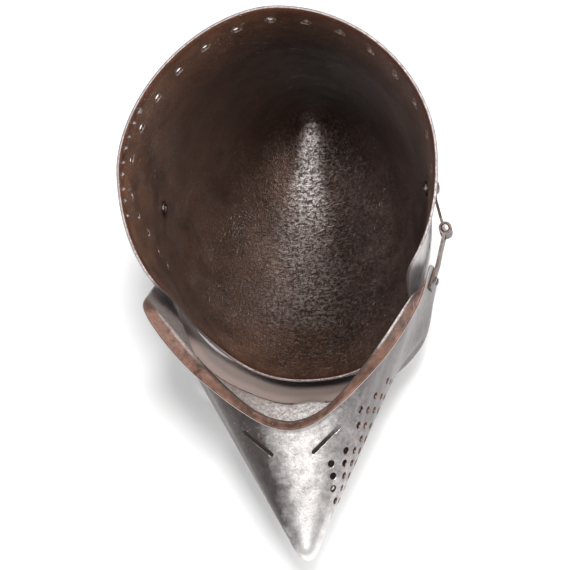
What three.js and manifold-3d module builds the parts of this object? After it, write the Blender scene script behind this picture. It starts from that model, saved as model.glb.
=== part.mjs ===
// Hounskull bascinet: a pointed steel skull with a snouted visor that lifts on two side pivots.
// Millimetres. The helmet is modelled upright in its own frame: X to the wearer's left, Y to the back,
// Z up, origin in the middle of the lower rim's plane. A last group lays it down as it rests.
import * as THREE from 'three';
import { mergeVertices } from 'three/addons/utils/BufferGeometryUtils.js';
import Module from 'manifold-3d';

const wasm = await Module();
wasm.setup();

// Driving dimensions. The lying pitch is the angle the crown's resting plane makes with the rim's plane.
const PLATE = 2;
const CLEARANCE = 0.3;
const UP = new THREE.Vector3(0, 0, 1);
const LEFT = new THREE.Vector3(1, 0, 0);
const UP_THE_LATHE = new THREE.Vector3(0, 1, 0);
const SKULL_AROUND = 56;
const SKULL_DOWN = 14;
const VISOR_AROUND = 52;

// The skull's level sections, from the apex (t 0) to the plane of the lower rim (t 1).
const SKULL_SECTIONS = [
  { t: 0.00, z: 281, halfWidth: 0, widestY: 105, backY: 105, frontY: 105, power: 1.9 },
  { t: 0.07, z: 277, halfWidth: 14, widestY: 94, backY: 107.5, frontY: 76, power: 1.9 },
  { t: 0.15, z: 268.5, halfWidth: 27, widestY: 80, backY: 110.5, frontY: 46, power: 1.95 },
  { t: 0.24, z: 258, halfWidth: 41, widestY: 64, backY: 113, frontY: 14, power: 2 },
  { t: 0.33, z: 243.5, halfWidth: 54, widestY: 48, backY: 115, frontY: -17, power: 2.05 },
  { t: 0.42, z: 224, halfWidth: 67, widestY: 32, backY: 117, frontY: -50, power: 2.3 },
  { t: 0.51, z: 199, halfWidth: 78.5, widestY: 18, backY: 118.5, frontY: -84, power: 2.3 },
  { t: 0.60, z: 172, halfWidth: 88, widestY: 9, backY: 119, frontY: -109.5, power: 2.3 },
  { t: 0.68, z: 145, halfWidth: 93.5, widestY: 4, backY: 118.5, frontY: -120.5, power: 2.3 },
  { t: 0.78, z: 108, halfWidth: 97, widestY: 5, backY: 117.5, frontY: -119, power: 2.3 },
  { t: 0.88, z: 65, halfWidth: 98.5, widestY: 8, backY: 116.5, frontY: -110, power: 2.25 },
  { t: 0.95, z: 30, halfWidth: 101.7, widestY: 13, backY: 118.5, frontY: -103, power: 2.2 },
  { t: 1.00, z: 0, halfWidth: 106.5, widestY: 18, backY: 122.8, frontY: -98, power: 2.2 },
];
const BACK_POWER = { left: 1.77, right: 1.91 };
const RIM_MIDDLE = 12;
const HOLE_SIDES = 6;
const LYING_PITCH = 30.17;

// The skull's free edge, from the nape round the cheek and up the face opening to the brow.
const SKULL_EDGE = [
  { u: 0.00, angle: 0, z: 0 },
  { u: 0.14, angle: 35, z: 0 },
  { u: 0.28, angle: 70, z: 0 },
  { u: 0.40, angle: 101, z: 0 },
  { u: 0.49, angle: 124.5, z: 0 },
  { u: 0.52, angle: 130.5, z: 1.5 },
  { u: 0.55, angle: 132.4, z: 9 },
  { u: 0.62, angle: 133.2, z: 40 },
  { u: 0.70, angle: 134.6, z: 80 },
  { u: 0.77, angle: 137.4, z: 116 },
  { u: 0.82, angle: 142.5, z: 138 },
  { u: 0.88, angle: 152, z: 150 },
  { u: 0.94, angle: 165, z: 154.5 },
  { u: 1.00, angle: 180, z: 155.5 },
];

// The visor is drawn round the tip of its snout. Each row is a line running back from the tip over a bend
// to the free edge: the flare's root and lip below, the bare side behind, the crease and brow band above.
const VISOR_LINES = [
  { u: 0.00, bend: [0, -154.5, 4.5], edge: [0, -159.5, -1], crisp: 1 },
  { u: 0.06, bend: [14, -151, 4.5], edge: [15.5, -155.5, -1], crisp: 1 },
  { u: 0.13, bend: [30, -141, 5], edge: [35.5, -142, -1], crisp: 1 },
  { u: 0.22, bend: [53, -117, 6], edge: [60, -120, -0.5], crisp: 1 },
  { u: 0.30, bend: [67, -100, 7], edge: [75.5, -102, 0], crisp: 1 },
  { u: 0.37, bend: [79, -84, 8], edge: [88, -83.5, 0], crisp: 1 },
  { u: 0.42, bend: [86.5, -75, 10], edge: [93.5, -71, 1], crisp: 0.8 },
  { u: 0.46, bend: [85, -82, 24], edge: [94, -63.5, 20], crisp: 0.3 },
  { u: 0.52, bend: [77, -97, 52], edge: [95.8, -51.5, 56], crisp: 0 },
  { u: 0.60, bend: [76, -100.5, 84], edge: [96, -49.5, 96], crisp: 0 },
  { u: 0.68, bend: [84, -95, 106], edge: [93.5, -62, 136], crisp: 0.7 },
  { u: 0.78, bend: [65, -113.5, 110], edge: [74, -93, 164], crisp: 1 },
  { u: 0.89, bend: [36, -129, 111.5], edge: [41.5, -113.5, 181], crisp: 1 },
  { u: 0.95, bend: [17, -135.2, 111.9], edge: [19, -119.4, 183.9], crisp: 1 },
  { u: 1.00, bend: [0, -136.5, 112], edge: [0, -120, 184], crisp: 1 },
];
const NOSE = { y: -235, z: 24, radius: 8, domeSteps: 2 };
const SNOUT_LEAN = 4.2;
const SNOUT_LEAN_POWER = 1.7;
const SNOUT_PINCH = 0.045;
const SNOUT_ROUND = 0.6;
const LINES_FRONT = -75;
const SNOUT_STEPS = 4;

// Steps of the flank from the bend (0) to the free edge (1), with the lips that stand up round the sights.
const FLANK = [
  { s: 0.06, lip: 5 },
  { s: 0.16, lip: 4.5 },
  { s: 0.30, lip: 0 },
  { s: 0.65, lip: 0 },
  { s: 1.00, lip: 0 },
];
const SIGHT = { inner: 12, outer: 80, low: 116.5, high: 123.5, deep: 60, fade: 8, firstLine: 0.64 };
const CHIN_SLOT = { outer: [31, -157.5], inner: [13.7, -173], width: 2.4, low: -4, high: 22, sides: 12 };

// Breaths on the wearer's right: rows across the snout, the first hole of each on the underside.
const BREATH_ROWS = [
  { y: -205, firstX: 24.6 },
  { y: -197, firstX: 24.3 },
  { y: -189, firstX: 24.8 },
  { y: -181, firstX: 24.3 },
  { y: -173, firstX: 34 },
  { y: -165.5, firstX: 43 },
  { y: -157, firstX: 42.9 },
  { y: -147, firstX: 45 },
  { y: -138, firstX: 54.3 },
  { y: -128, firstX: 62 },
];
const BREATH = { radius: 2.4, pitch: 10.5, topZ: 62 };

// Lacing holes for the lining: a row round the rim, and a few smaller ones climbing each cheek.
const LACING = { radius: 2.7, z: 18, step: 13.3, eachSide: 7 };
const CHEEK_HOLES = [
  { angle: 101, z: 28 },
  { angle: 107, z: 44 },
  { angle: 112, z: 64 },
  { angle: 116, z: 86 },
];
const CHEEK_HOLE_RADIUS = 2;

// The pivot and the lift-off hinge that each side of the visor hangs on.
const PIVOT = { y: 9, z: 96, shank: 2.5, head: 5, headHeight: 2.4, washer: 5.5, washerThickness: 1.2 };
const PEEN = { radius: 3.2, height: 1.8 };
const ARM = { x: 98.9, thickness: 2, halfHeight: 8, straightTo: 1 };
const KNUCKLE = { x: 105.6, y: -21.8, radius: 4.6, length: 8, sides: 16 };
const PIN = { radius: 2, head: 3.2, headHeight: 1.1 };
const LEAF_LINE = [[103.6, -25.3], [100.6, -35], [97.8, -45.5], [91, -62.6]];
const LEAF_THICKNESS = 1.8;
const LEAF_RIVET = { y: -56, spread: 7.5, shank: 1.5 };
const LEAF_RIVET_HEAD = { outer: 3.2, outerHeight: 1.5, inner: 2.6, innerHeight: 0.8 };

const STEEL = { color: 0x77716e, roughness: 0.42, metalness: 1 };
const RUSTED_STEEL = { color: 0x4a3c36, roughness: 0.55, metalness: 0.85 };
const BRIGHT_STEEL = { color: 0x9a9492, roughness: 0.35, metalness: 1 };

// Value of one column at a place along a table, on a smooth curve through the rows.
function along(rows, key, place, column) {
  let i = 0;
  while (i < rows.length - 2 && rows[i + 1][key] < place) i += 1;
  const slope = (k) => {
    const a = rows[Math.max(k - 1, 0)];
    const b = rows[Math.min(k + 1, rows.length - 1)];
    return (column(b) - column(a)) / (b[key] - a[key]);
  };
  const [start, end] = [rows[i], rows[i + 1]];
  const width = end[key] - start[key];
  const s = Math.min(Math.max((place - start[key]) / width, 0), 1);
  const s2 = s * s;
  const s3 = s2 * s;
  return (2 * s3 - 3 * s2 + 1) * column(start) + (s3 - 2 * s2 + s) * width * slope(i)
    + (3 * s2 - 2 * s3) * column(end) + (s3 - s2) * width * slope(i + 1);
}

// Outer point of the skull at a section and an angle, 0 at the nape and 180 degrees at the brow,
// as if it lay on the left. The two sides of the back are hammered a little differently.
function skullPoint(t, degrees, side) {
  const at = (name) => along(SKULL_SECTIONS, 't', t, (row) => row[name]);
  const angle = THREE.MathUtils.degToRad(degrees);
  const across = Math.sin(angle);
  const back = Math.cos(angle);
  const middle = at('widestY');
  const halfWidth = Math.max(at('halfWidth'), 1e-6);
  const reach = Math.max(back > 0 ? at('backY') - middle : middle - at('frontY'), 1e-6);
  const backPower = side > 0 ? BACK_POWER.left : BACK_POWER.right;
  const power = back > 0 ? backPower : at('power');
  const wide = (Math.abs(across) / halfWidth) ** power;
  const long = (Math.abs(back) / reach) ** power;
  const radius = (wide + long) ** (-1 / power);
  return new THREE.Vector3(radius * across, middle + radius * back, at('z'));
}

// The section whose height is z.
function sectionAt(z) {
  let low = 0;
  let high = 1;
  for (let i = 0; i < 30; i += 1) {
    const middle = (low + high) / 2;
    if (along(SKULL_SECTIONS, 't', middle, (row) => row.z) > z) low = middle;
    else high = middle;
  }
  return (low + high) / 2;
}

// Rows of skull points: row 0 is the apex and the last row is the free edge.
function skullGrid() {
  const grid = [];
  const columns = [];
  for (let i = 0; i < SKULL_AROUND; i += 1) {
    const turn = (i + 0.5) / SKULL_AROUND;
    const u = 1 - Math.abs(1 - 2 * turn);
    const side = turn <= 0.5 ? -1 : 1;
    const edgeAngle = along(SKULL_EDGE, 'u', u, (row) => row.angle);
    const edgeT = sectionAt(Math.max(along(SKULL_EDGE, 'u', u, (row) => row.z), 0));
    columns.push({ side, edgeAngle, edgeT, topAngle: 180 * u });
  }
  for (let j = 0; j <= SKULL_DOWN; j += 1) {
    const v = j / SKULL_DOWN;
    grid.push(columns.map((column) => {
      const lean = v * v * (3 - 2 * v);
      const angle = column.topAngle + (column.edgeAngle - column.topAngle) * lean;
      const point = skullPoint(v * column.edgeT, angle, column.side);
      point.x *= column.side;
      return point;
    }));
  }
  return grid;
}

// How far the lips of the sights stand up on a line whose bend is x from the middle: 0 to 1.
function lipWindow(x, u) {
  const reach = THREE.MathUtils.smoothstep(x, SIGHT.inner - SIGHT.fade, SIGHT.inner);
  const end = 1 - THREE.MathUtils.smoothstep(x, SIGHT.outer, SIGHT.outer + SIGHT.fade);
  return reach * end * THREE.MathUtils.smoothstep(u, SIGHT.firstLine, SIGHT.firstLine + 0.06);
}

// Rows of visor points: row 0 is the tip of the snout and the last row is the free edge.
function visorGrid() {
  const columns = [];
  for (let i = 0; i < VISOR_AROUND; i += 1) {
    const turn = i / VISOR_AROUND;
    const u = 1 - Math.abs(1 - 2 * turn);
    const side = turn <= 0.5 ? 1 : -1;
    const axis = (name, k) => along(VISOR_LINES, 'u', u, (row) => row[name][k]);
    const pick = (name) => {
      return new THREE.Vector3(Math.max(axis(name, 0), 0) * side, axis(name, 1), axis(name, 2));
    };
    const bend = pick('bend');
    const edge = pick('edge');
    const crisp = THREE.MathUtils.clamp(along(VISOR_LINES, 'u', u, (row) => row.crisp), 0, 1);
    const angle = Math.PI * (u - 0.5);
    const lips = lipWindow(Math.abs(bend.x), u);
    columns.push({ bend, edge, crisp, lips, across: Math.cos(angle) * side, up: Math.sin(angle) });
  }
  const grid = [];
  for (let j = 0; j <= NOSE.domeSteps; j += 1) {
    const polar = (Math.PI / 2) * (j / NOSE.domeSteps);
    const radius = NOSE.radius * Math.sin(polar);
    const y = NOSE.y - NOSE.radius * Math.cos(polar);
    grid.push(columns.map(({ across, up }) => new THREE.Vector3(radius * across, y, NOSE.z + radius * up)));
  }
  const base = grid[NOSE.domeSteps];
  for (let j = 1; j <= SNOUT_STEPS; j += 1) {
    const s = j / SNOUT_STEPS;
    const midway = 4 * s * (1 - s);
    const row = columns.map(({ bend }, i) => base[i].clone().lerp(bend, s));
    const low = Math.min(...row.map((point) => point.z));
    const high = Math.max(...row.map((point) => point.z));
    const halfWidth = Math.max(...row.map((point) => point.x));
    row.forEach((point, i) => {
      const { across, up } = columns[i];
      const round = new THREE.Vector3(halfWidth * across, point.y, (low + high) / 2 + up * (high - low) / 2);
      point.lerp(round, SNOUT_ROUND * midway);
      point.x *= 1 - SNOUT_PINCH * midway;
    });
    grid.push(row);
  }
  FLANK.forEach(({ s, lip }) => {
    grid.push(columns.map(({ bend, edge, crisp, lips }, i) => {
      const point = bend.clone().lerp(edge, s);
      const ahead = bend.clone().sub(base[i]).setLength(bend.distanceTo(edge));
      point.addScaledVector(ahead, (1 - crisp) * 0.35 * s * (1 - s) ** 2);
      const outward = new THREE.Vector3(bend.x, bend.y, 0).normalize();
      return point.addScaledVector(outward, lip * lips);
    }));
  });
  grid.flat().forEach((point) => {
    const ahead = Math.max(LINES_FRONT - point.y, 0) / (LINES_FRONT - NOSE.y);
    point.x -= SNOUT_LEAN * ahead ** SNOUT_LEAN_POWER;
  });
  return grid;
}

// Outward unit normals of a grid whose row 0 is a single point.
function gridNormals(grid) {
  const count = grid[0].length;
  return grid.map((row, j) => row.map((point, i) => {
    const normal = new THREE.Vector3();
    const spokes = j === 0 ? [...Array(count).keys()] : [i];
    spokes.forEach((k) => {
      const above = grid[Math.max(j - 1, 0)][k];
      const below = grid[Math.min(j + 1, grid.length - 1)][k];
      const ring = grid[Math.max(j, 1)];
      const across = ring[(k + 1) % count].clone().sub(ring[(k + count - 1) % count]);
      normal.add(below.clone().sub(above).cross(across));
    });
    return normal.normalize();
  }));
}

// A closed plate: the grid pushed out and in along its normals, joined along the free edge.
function plate(grid, outward, inward, levelRim = false) {
  const count = grid[0].length;
  const last = grid.length - 1;
  const normals = gridNormals(grid);
  const positions = [];
  const skins = [outward, -inward].map((push) => grid.map((row, j) => {
    let first = -1;
    return row.map((point, i) => {
      if (j === 0 && i > 0) return first;
      const moved = point.clone().addScaledVector(normals[j][i], push);
      if (j === last && levelRim && point.z < 0.01) moved.z = point.z;
      positions.push(moved.x, moved.y, moved.z);
      if (i === 0) first = positions.length / 3 - 1;
      return positions.length / 3 - 1;
    });
  }));
  const index = [];
  const face = (a, b, c) => {
    if (a !== b && b !== c && c !== a) index.push(a, b, c);
  };
  const [outer, inner] = skins;
  for (let i = 0; i < count; i += 1) {
    const k = (i + 1) % count;
    for (let j = 0; j < last; j += 1) {
      face(outer[j][i], outer[j + 1][i], outer[j + 1][k]);
      face(outer[j][i], outer[j + 1][k], outer[j][k]);
      face(inner[j][i], inner[j + 1][k], inner[j + 1][i]);
      face(inner[j][i], inner[j][k], inner[j + 1][k]);
    }
    face(outer[last][i], inner[last][i], inner[last][k]);
    face(outer[last][i], inner[last][k], outer[last][k]);
  }
  const geometry = new THREE.BufferGeometry();
  geometry.setAttribute('position', new THREE.Float32BufferAttribute(positions, 3));
  geometry.setIndex(index);
  return solid(geometry);
}

function solid(geometry) {
  const bare = geometry.clone();
  bare.deleteAttribute('normal');
  bare.deleteAttribute('uv');
  const merged = mergeVertices(bare, 1e-4);
  const mesh = new wasm.Mesh({
    numProp: 3,
    vertProperties: new Float32Array(merged.attributes.position.array),
    triVerts: new Uint32Array(merged.index.array),
  });
  return new wasm.Manifold(mesh);
}

function surface(body) {
  const mesh = body.getMesh();
  const geometry = new THREE.BufferGeometry();
  geometry.setAttribute('position', new THREE.BufferAttribute(new Float32Array(mesh.vertProperties), 3));
  geometry.setIndex(new THREE.BufferAttribute(new Uint32Array(mesh.triVerts), 1));
  geometry.computeVertexNormals();
  return geometry;
}

// A rod through a point along a direction.
function rod(centre, direction, radius, length, sides) {
  const geometry = new THREE.CylinderGeometry(radius, radius, length, sides);
  geometry.applyQuaternion(new THREE.Quaternion().setFromUnitVectors(UP_THE_LATHE, direction));
  geometry.translate(centre.x, centre.y, centre.z);
  return solid(geometry);
}

// A turned piece: its profile of [radius, height] points is spun and stood at a point along a direction.
function turned(profile, centre, direction, sides) {
  const geometry = new THREE.LatheGeometry(profile.map(([r, h]) => new THREE.Vector2(r, h)), sides);
  geometry.applyQuaternion(new THREE.Quaternion().setFromUnitVectors(UP_THE_LATHE, direction));
  geometry.translate(centre.x, centre.y, centre.z);
  return solid(geometry);
}

// Where a straight line from a point first meets a grid, or null.
function pierce(grid, origin, direction) {
  const ray = new THREE.Ray(origin, direction);
  const hit = new THREE.Vector3();
  let best = null;
  const test = (a, b, c) => {
    if (!ray.intersectTriangle(a, b, c, false, hit)) return;
    if (best && best.point.distanceTo(origin) <= hit.distanceTo(origin)) return;
    const normal = b.clone().sub(a).cross(c.clone().sub(a)).normalize();
    best = { point: hit.clone(), normal };
  };
  const count = grid[0].length;
  for (let j = 0; j < grid.length - 1; j += 1) {
    for (let i = 0; i < count; i += 1) {
      const k = (i + 1) % count;
      test(grid[j][i], grid[j + 1][i], grid[j + 1][k]);
      test(grid[j][i], grid[j + 1][k], grid[j][k]);
    }
  }
  return best;
}

// Rods for the skull's lacing holes.
function lacingRods(grid) {
  const holes = [];
  for (let k = -LACING.eachSide; k <= LACING.eachSide; k += 1) {
    holes.push({ angle: k * LACING.step, z: LACING.z, radius: LACING.radius });
  }
  CHEEK_HOLES.forEach(({ angle, z }) => {
    holes.push({ angle, z, radius: CHEEK_HOLE_RADIUS }, { angle: -angle, z, radius: CHEEK_HOLE_RADIUS });
  });
  return holes.map(({ angle, z, radius }) => {
    const turn = THREE.MathUtils.degToRad(angle);
    const direction = new THREE.Vector3(Math.sin(turn), Math.cos(turn), 0);
    const { point, normal } = pierce(grid, new THREE.Vector3(0, RIM_MIDDLE, z), direction);
    return rod(point, normal, radius, 4 * PLATE, HOLE_SIDES);
  });
}

// Rods for the breaths: along each row the holes climb the snout's right side at an even pitch.
function breathRods(grid) {
  const rods = [];
  BREATH_ROWS.forEach(({ y, firstX }) => {
    const start = pierce(grid, new THREE.Vector3(-firstX, y, -200), UP);
    let previous = start.point;
    let travelled = 0;
    rods.push(rod(start.point, start.normal, BREATH.radius, 4 * PLATE, HOLE_SIDES));
    const middle = new THREE.Vector3(0, y, NOSE.z + 25);
    const from = Math.atan2(start.point.z - middle.z, start.point.x);
    for (let turn = 0; turn < Math.PI; turn += 0.01) {
      const angle = from < 0 ? from - turn : 2 * Math.PI + from - turn;
      const direction = new THREE.Vector3(Math.cos(angle), 0, Math.sin(angle));
      const hit = pierce(grid, middle, direction);
      if (!hit || hit.point.x > -8 || hit.point.z > BREATH.topZ) break;
      travelled += hit.point.distanceTo(previous);
      previous = hit.point;
      if (travelled >= BREATH.pitch) {
        travelled = 0;
        rods.push(rod(hit.point, hit.normal, BREATH.radius, 4 * PLATE, HOLE_SIDES));
      }
    }
  });
  return rods;
}

// Blocks that open the two sights and the two slots behind the chin.
function visorSlots() {
  const { inner, outer, low, high, deep } = SIGHT;
  return [-1, 1].flatMap((side) => {
    const sight = new THREE.BoxGeometry(outer - inner, 2 * deep, high - low);
    sight.translate(side * (inner + outer) / 2, VISOR_LINES.at(-1).bend[1], (low + high) / 2);
    const [fromX, fromY] = CHIN_SLOT.outer;
    const [toX, toY] = CHIN_SLOT.inner;
    const length = Math.hypot(fromX - toX, fromY - toY);
    const slot = new THREE.BoxGeometry(length, CHIN_SLOT.width, CHIN_SLOT.high - CHIN_SLOT.low);
    slot.rotateZ(Math.atan2(fromY - toY, side * (fromX - toX)));
    slot.translate(side * (fromX + toX) / 2, (fromY + toY) / 2, (CHIN_SLOT.high + CHIN_SLOT.low) / 2);
    const ends = [CHIN_SLOT.outer, CHIN_SLOT.inner].map(([x, y]) => {
      const centre = new THREE.Vector3(side * x, y, (CHIN_SLOT.high + CHIN_SLOT.low) / 2);
      return rod(centre, UP, CHIN_SLOT.width / 2, CHIN_SLOT.high - CHIN_SLOT.low, CHIN_SLOT.sides);
    });
    return [solid(sight), solid(slot).add(ends[0]).add(ends[1])];
  });
}

// A strip of even thickness along a plan line, standing between two heights.
function strip(line, thickness, low, high) {
  const points = line.map(([x, y]) => new THREE.Vector2(x, y));
  const outer = points.map((point, i) => {
    const before = points[Math.max(i - 1, 0)];
    const after = points[Math.min(i + 1, points.length - 1)];
    const run = after.clone().sub(before).normalize();
    return new THREE.Vector2(point.x - run.y * thickness, point.y + run.x * thickness);
  });
  const shape = new THREE.Shape([...points, ...outer.reverse()]);
  const geometry = new THREE.ExtrudeGeometry(shape, { depth: high - low, bevelEnabled: false });
  geometry.translate(0, 0, low);
  return solid(geometry);
}

function barrel(low, high) {
  const centre = new THREE.Vector3(KNUCKLE.x, KNUCKLE.y, (low + high) / 2);
  return rod(centre, UP, KNUCKLE.radius, high - low, KNUCKLE.sides);
}

function pinBore() {
  const centre = new THREE.Vector3(KNUCKLE.x, KNUCKLE.y, PIVOT.z);
  return rod(centre, UP, PIN.radius + CLEARANCE, 60, KNUCKLE.sides);
}

// The arm: a flat strip with a round end on the pivot and the hinge's middle knuckle in front.
function pivotArm() {
  const back = PIVOT.y + ARM.halfHeight;
  const line = [[ARM.x, back], [ARM.x, ARM.straightTo], [KNUCKLE.x - 2.5, KNUCKLE.y + 2]];
  const blank = strip(line, ARM.thickness, PIVOT.z - ARM.halfHeight, PIVOT.z + ARM.halfHeight);
  const outline = new THREE.Shape();
  outline.absarc(-PIVOT.z, PIVOT.y, ARM.halfHeight, 0, Math.PI, false);
  const half = KNUCKLE.length / 2;
  const neck = KNUCKLE.y + KNUCKLE.radius + 4;
  outline.lineTo(-PIVOT.z - half, neck);
  outline.lineTo(-PIVOT.z - half, KNUCKLE.y);
  outline.lineTo(-PIVOT.z + half, KNUCKLE.y);
  outline.lineTo(-PIVOT.z + half, neck);
  const side = new THREE.ExtrudeGeometry(outline, { depth: 30, bevelEnabled: false, curveSegments: 16 });
  side.rotateY(Math.PI / 2);
  side.translate(ARM.x - 5, 0, 0);
  const pivotCentre = new THREE.Vector3(ARM.x, PIVOT.y, PIVOT.z);
  const bore = rod(pivotCentre, LEFT, PIVOT.shank + CLEARANCE, 20, KNUCKLE.sides);
  const knuckle = barrel(PIVOT.z - half, PIVOT.z + half);
  return blank.intersect(solid(side)).add(knuckle).subtract(bore).subtract(pinBore());
}

// The leaf: a plate on the visor's cheek with the hinge's two outer knuckles.
function hingeLeaf(visorRoom, rivetBores) {
  const inner = KNUCKLE.length / 2 + CLEARANCE;
  const outer = inner + KNUCKLE.length;
  const room = KNUCKLE.radius + 3;
  const gap = rod(new THREE.Vector3(KNUCKLE.x, KNUCKLE.y, PIVOT.z), UP, room, 2 * inner, KNUCKLE.sides);
  let leaf = strip(LEAF_LINE, LEAF_THICKNESS, PIVOT.z - outer, PIVOT.z + outer);
  leaf = leaf.subtract(gap);
  leaf = leaf.add(barrel(PIVOT.z - outer, PIVOT.z - inner)).add(barrel(PIVOT.z + inner, PIVOT.z + outer));
  leaf = leaf.subtract(pinBore()).subtract(visorRoom);
  rivetBores.forEach((bore) => {
    leaf = leaf.subtract(bore);
  });
  return leaf;
}

function hingePin() {
  const half = 1.5 * KNUCKLE.length + 2 * CLEARANCE;
  const { radius, head, headHeight } = PIN;
  const profile = [
    [0, -half - headHeight], [head * 0.7, -half - headHeight * 0.75], [head, -half], [radius, -half],
    [radius, half], [head, half], [head * 0.7, half + headHeight * 0.75], [0, half + headHeight],
  ];
  return turned(profile, new THREE.Vector3(KNUCKLE.x, KNUCKLE.y, PIVOT.z), UP, KNUCKLE.sides);
}

// The pivot rivet: a domed head outside the arm, and a washer under a peened end inside the skull.
function pivotRivet(wallX) {
  const { shank, head, headHeight, washer, washerThickness } = PIVOT;
  const outside = ARM.x + ARM.thickness + CLEARANCE;
  const inside = wallX - PLATE - 2 * CLEARANCE;
  const profile = [
    [0, inside - washerThickness - PEEN.height],
    [PEEN.radius * 0.7, inside - washerThickness - PEEN.height * 0.75],
    [PEEN.radius, inside - washerThickness],
    [washer, inside - washerThickness],
    [washer, inside],
    [shank, inside],
    [shank, outside],
    [head, outside],
    [head * 0.75, outside + headHeight * 0.7],
    [0, outside + headHeight],
  ];
  return turned(profile, new THREE.Vector3(0, PIVOT.y, PIVOT.z), LEFT, 20);
}

function leafRivet(place) {
  const { shank } = LEAF_RIVET;
  const { outer, outerHeight, inner, innerHeight } = LEAF_RIVET_HEAD;
  const low = -PLATE - CLEARANCE;
  const high = 2 * CLEARANCE + LEAF_THICKNESS + 0.2;
  const profile = [
    [0, low - innerHeight], [inner, low - innerHeight * 0.6], [inner, low], [shank, low],
    [shank, high], [outer, high], [outer * 0.75, high + outerHeight * 0.7], [0, high + outerHeight],
  ];
  return turned(profile, place.point, place.normal, 12);
}

function build() {
  const skull = skullGrid();
  const visor = visorGrid();
  const cut = (body, cutters) => cutters.reduce((rest, cutter) => rest.subtract(cutter), body);
  const mirrored = (body) => body.mirror([1, 0, 0]);
  const wall = pierce(skull, new THREE.Vector3(0, PIVOT.y, PIVOT.z), LEFT).point.x;
  const pivotCentre = new THREE.Vector3(0, PIVOT.y, PIVOT.z);
  const pivotBore = rod(pivotCentre, LEFT, PIVOT.shank + CLEARANCE, 400, KNUCKLE.sides);
  const visorRoom = plate(visor, CLEARANCE, PLATE + CLEARANCE);

  const sides = [{ name: 'left', sign: 1 }, { name: 'right', sign: -1 }];
  const seats = sides.map(({ sign }) => [-1, 1].map((level) => {
    const height = PIVOT.z + level * LEAF_RIVET.spread;
    const inward = new THREE.Vector3(-sign, 0, 0);
    return pierce(visor, new THREE.Vector3(200 * sign, LEAF_RIVET.y, height), inward);
  }));
  const bores = seats.map((pair) => pair.map(({ point, normal }) => (
    rod(point, normal, LEAF_RIVET.shank + CLEARANCE, 20, 12))));

  const helmet = new THREE.Group();
  add(helmet, 'skull', cut(plate(skull, 0, PLATE, true), [...lacingRods(skull), pivotBore]), RUSTED_STEEL);
  const openings = [...visorSlots(), ...breathRods(visor), ...bores.flat()];
  add(helmet, 'visor', cut(plate(visor, 0, PLATE), openings), STEEL);
  sides.forEach(({ name, sign }, k) => {
    const place = (body) => (sign > 0 ? body : mirrored(body));
    const leafBores = bores[k].map(place);
    add(helmet, `${name}_pivot_arm`, place(pivotArm()), STEEL);
    add(helmet, `${name}_hinge_leaf`, place(hingeLeaf(place(visorRoom), leafBores)), STEEL);
    add(helmet, `${name}_hinge_pin`, place(hingePin()), BRIGHT_STEEL);
    add(helmet, `${name}_pivot_rivet`, place(pivotRivet(wall)), BRIGHT_STEEL);
    seats[k].forEach((seat, n) => {
      add(helmet, `${name}_leaf_rivet_${n + 1}`, leafRivet(seat), BRIGHT_STEEL);
    });
  });
  return helmet;
}

function add(group, name, body, look) {
  const mesh = new THREE.Mesh(surface(body), new THREE.MeshStandardMaterial({ ...look, name }));
  mesh.name = name;
  group.add(mesh);
}

// The helmet lies on its crown: the forehead and the visor's top edge touch the ground, the snout ahead.
const helmet = build();
helmet.rotateZ(Math.PI);
helmet.rotateX(THREE.MathUtils.degToRad(180 - LYING_PITCH));
helmet.updateMatrixWorld(true);
const box = new THREE.Box3().setFromObject(helmet, true);
const middle = box.getCenter(new THREE.Vector3());
helmet.position.set(-middle.x, -middle.y, -box.min.z);

const part = new THREE.Group();
part.add(helmet);
export default part;
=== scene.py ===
"""Hounskull bascinet lying on its crown, seen from in front and above, looking into the bowl.

Shapes are worked out in the helmet's own frame, in millimetres: X to the wearer's left, Y to the back,
Z up to the point of the skull, origin in the middle of the rim. lay_down() turns them into the row's frame.
"""
import math

import bpy
import numpy as np
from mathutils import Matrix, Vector
from mathutils.bvhtree import BVHTree


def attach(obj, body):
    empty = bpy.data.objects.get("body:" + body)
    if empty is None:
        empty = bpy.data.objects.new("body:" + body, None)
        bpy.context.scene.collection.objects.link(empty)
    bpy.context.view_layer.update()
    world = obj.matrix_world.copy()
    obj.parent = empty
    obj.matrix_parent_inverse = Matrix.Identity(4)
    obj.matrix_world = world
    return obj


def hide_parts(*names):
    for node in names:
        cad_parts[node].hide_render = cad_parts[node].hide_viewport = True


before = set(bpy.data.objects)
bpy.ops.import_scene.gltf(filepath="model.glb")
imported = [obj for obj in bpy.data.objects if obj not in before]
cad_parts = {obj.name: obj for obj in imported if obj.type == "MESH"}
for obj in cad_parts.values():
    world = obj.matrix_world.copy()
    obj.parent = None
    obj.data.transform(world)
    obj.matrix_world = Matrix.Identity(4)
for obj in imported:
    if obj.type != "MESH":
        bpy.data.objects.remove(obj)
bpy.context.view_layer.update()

# How the helmet lies: the turn of its crown onto the floor, and where the middle of its rim comes to be.
LYING_PITCH = math.radians(30.17)
RIM_PLACE = np.array([0.0, -0.016636, 0.219395])

# Thickness of both plates, and how far behind the origin the holes round the rim have their centre.
PLATE = 2.0
RIM_MIDDLE = 12.0


def table(names, rows):
    """Named columns of a short table, as arrays."""
    return dict(zip(names.split(), np.array(rows, float).T))


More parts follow.
